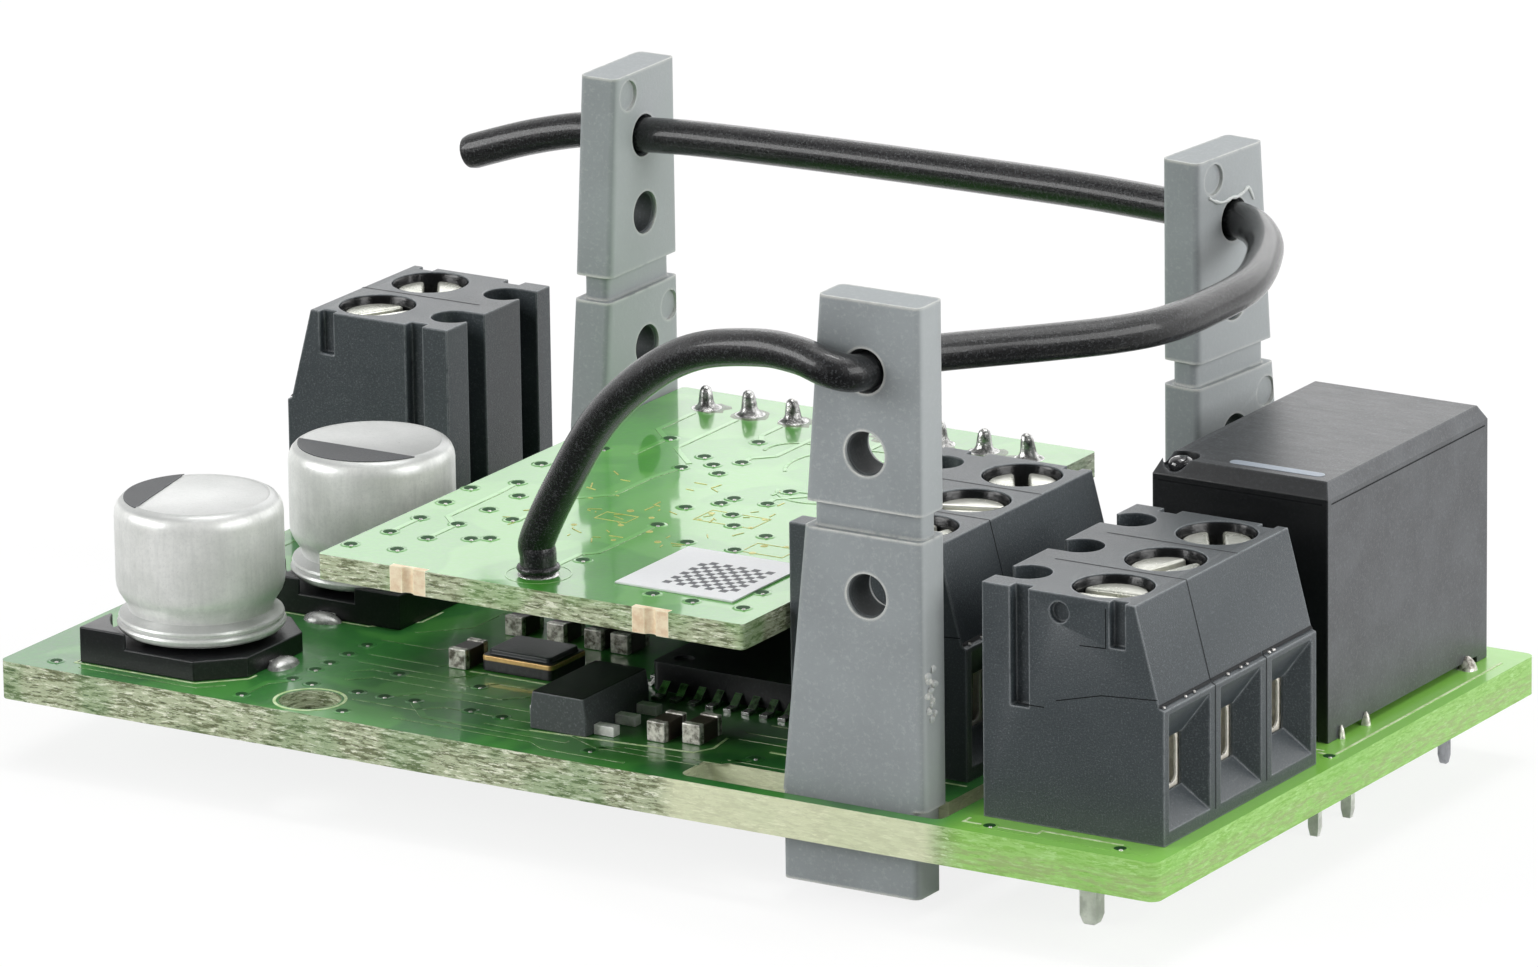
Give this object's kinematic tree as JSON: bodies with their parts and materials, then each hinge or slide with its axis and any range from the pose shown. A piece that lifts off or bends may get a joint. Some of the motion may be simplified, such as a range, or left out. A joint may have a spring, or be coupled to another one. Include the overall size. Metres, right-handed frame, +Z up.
{
  "type": "smart relay module",
  "caption": "Open relay module: stacked main and radio boards, sealed relay, rising-cage screw terminals, can capacitors and an aerial wire threaded through upright holders.",
  "frame": {"origin": "middle of the bounding box, on the lowest face (the tips of the solder pins)", "axes": "+X along the main board from the rear-left terminal block to the relay, +Y from the front edge to the rear, +Z up out of the component side"},
  "size_m": [0.0514, 0.0306, 0.0233],
  "materials": {
    "board_green": "solder mask over glass laminate",
    "radio_green": "light solder mask over glass laminate",
    "copper": "bare copper",
    "black_plastic": "moulded black",
    "tinned": "tin plated",
    "solder": "bright solder",
    "charcoal_plastic": "fine grained charcoal",
    "relay_plastic": "satin charcoal",
    "cream_plastic": "moulded",
    "winding_copper": "enamelled copper wire",
    "iron": "plated soft iron",
    "can_aluminium": "satin drawn can",
    "grey_plastic": "satin mid grey",
    "wire_black": "semi-gloss insulation",
    "nickel": "bright nickel plate",
    "chip_brown": "ceramic"
  },
  "bodies": {
    "module": {"main_board": "board_green", "radio_board": "radio_green", "radio_edge_pads": "copper", "header_spacer_1": "black_plastic", "header_spacer_2": "black_plastic", "header_pins": "tinned", "radio_solder": "solder", "board_solder": "solder", "front_terminal_housing": "charcoal_plastic", "middle_terminal_housing": "charcoal_plastic", "rear_terminal_housing": "charcoal_plastic", "front_terminal_contacts": "tinned", "middle_terminal_contacts": "tinned", "rear_terminal_contacts": "tinned", "relay_cover": "relay_plastic", "relay_base": "relay_plastic", "relay_bobbin": "cream_plastic", "relay_winding": "winding_copper", "relay_core": "iron", "relay_yoke": "iron", "relay_fixed_contacts": "copper", "relay_coil_pins": "tinned", "relay_vent_seal": "black_plastic", "capacitor_base_1": "black_plastic", "capacitor_base_2": "black_plastic", "capacitor_can_1": "can_aluminium", "capacitor_can_2": "can_aluminium", "capacitor_leads": "tinned", "antenna_holder_front": "grey_plastic", "antenna_holder_left": "grey_plastic", "antenna_holder_right": "grey_plastic", "antenna_wire": "wire_black", "antenna_core": "copper", "clock_crystal": "black_plastic", "voltage_regulator": "black_plastic", "regulator_leads": "tinned", "chip_bodies": "chip_brown", "chip_ends": "tinned", "microcontroller": "black_plastic", "microcontroller_leads": "tinned", "radio_chip": "black_plastic"},
    "screw_1": {"clamp_screw_1": "nickel"},
    "cage_1": {"clamp_cage_1": "nickel"},
    "screw_2": {"clamp_screw_2": "nickel"},
    "cage_2": {"clamp_cage_2": "nickel"},
    "screw_3": {"clamp_screw_3": "nickel"},
    "cage_3": {"clamp_cage_3": "nickel"},
    "screw_4": {"clamp_screw_4": "nickel"},
    "cage_4": {"clamp_cage_4": "nickel"},
    "screw_5": {"clamp_screw_5": "nickel"},
    "cage_5": {"clamp_cage_5": "nickel"},
    "screw_6": {"clamp_screw_6": "nickel"},
    "cage_6": {"clamp_cage_6": "nickel"},
    "screw_7": {"clamp_screw_7": "nickel"},
    "cage_7": {"clamp_cage_7": "nickel"},
    "screw_8": {"clamp_screw_8": "nickel"},
    "cage_8": {"clamp_cage_8": "nickel"},
    "armature": {"relay_armature": "iron", "relay_contact_spring": "copper"}
  },
  "joints": [
    {"name": "screw_1_turn", "type": "hinge", "parent": "module", "child": "screw_1", "pos_m": [0.02189, -0.01074, 0.0121], "axis": [0, 0, -1], "range_deg": [0, 1440]},
    {"name": "cage_1_lift", "type": "slide", "parent": "module", "child": "cage_1", "axis": [0, 0, 1], "range_m": [0, 0.0016]},
    {"name": "screw_2_turn", "type": "hinge", "parent": "module", "child": "screw_2", "pos_m": [0.02189, -0.00693, 0.0121], "axis": [0, 0, -1], "range_deg": [0, 1440]},
    {"name": "cage_2_lift", "type": "slide", "parent": "module", "child": "cage_2", "axis": [0, 0, 1], "range_m": [0, 0.0016]},
    {"name": "screw_3_turn", "type": "hinge", "parent": "module", "child": "screw_3", "pos_m": [0.02189, -0.00312, 0.0121], "axis": [0, 0, -1], "range_deg": [0, 1440]},
    {"name": "cage_3_lift", "type": "slide", "parent": "module", "child": "cage_3", "axis": [0, 0, 1], "range_m": [0, 0.0016]},
    {"name": "screw_4_turn", "type": "hinge", "parent": "module", "child": "screw_4", "pos_m": [0.01177, -0.00765, 0.0121], "axis": [0, 0, -1], "range_deg": [0, 1440]},
    {"name": "cage_4_lift", "type": "slide", "parent": "module", "child": "cage_4", "axis": [0, 0, 1], "range_m": [0, 0.0016]},
    {"name": "screw_5_turn", "type": "hinge", "parent": "module", "child": "screw_5", "pos_m": [0.01177, -0.00384, 0.0121], "axis": [0, 0, -1], "range_deg": [0, 1440]},
    {"name": "cage_5_lift", "type": "slide", "parent": "module", "child": "cage_5", "axis": [0, 0, 1], "range_m": [0, 0.0016]},
    {"name": "screw_6_turn", "type": "hinge", "parent": "module", "child": "screw_6", "pos_m": [0.01177, -0.00003, 0.0121], "axis": [0, 0, -1], "range_deg": [0, 1440]},
    {"name": "cage_6_lift", "type": "slide", "parent": "module", "child": "cage_6", "axis": [0, 0, 1], "range_m": [0, 0.0016]},
    {"name": "screw_7_turn", "type": "hinge", "parent": "module", "child": "screw_7", "pos_m": [-0.02255, 0.01199, 0.0121], "axis": [0, 0, -1], "range_deg": [0, 1440]},
    {"name": "cage_7_lift", "type": "slide", "parent": "module", "child": "cage_7", "axis": [0, 0, 1], "range_m": [0, 0.0016]},
    {"name": "screw_8_turn", "type": "hinge", "parent": "module", "child": "screw_8", "pos_m": [-0.02255, 0.00818, 0.0121], "axis": [0, 0, -1], "range_deg": [0, 1440]},
    {"name": "cage_8_lift", "type": "slide", "parent": "module", "child": "cage_8", "axis": [0, 0, 1], "range_m": [0, 0.0016]},
    {"name": "armature_tilt", "type": "hinge", "parent": "module", "child": "armature", "pos_m": [0.02049, 0.0074, 0.0123], "axis": [1, 0, 0], "range_deg": [-5, 0], "stiffness_Nm_per_rad": 0.002, "springref_deg": 8.59}
  ],
  "couplings": [
    {"joint": "screw_1_turn", "follows": "cage_1_lift", "rad_per_m": 15700},
    {"joint": "screw_2_turn", "follows": "cage_2_lift", "rad_per_m": 15700},
    {"joint": "screw_3_turn", "follows": "cage_3_lift", "rad_per_m": 15700},
    {"joint": "screw_4_turn", "follows": "cage_4_lift", "rad_per_m": 15700},
    {"joint": "screw_5_turn", "follows": "cage_5_lift", "rad_per_m": 15700},
    {"joint": "screw_6_turn", "follows": "cage_6_lift", "rad_per_m": 15700},
    {"joint": "screw_7_turn", "follows": "cage_7_lift", "rad_per_m": 15700},
    {"joint": "screw_8_turn", "follows": "cage_8_lift", "rad_per_m": 15700}
  ]
}
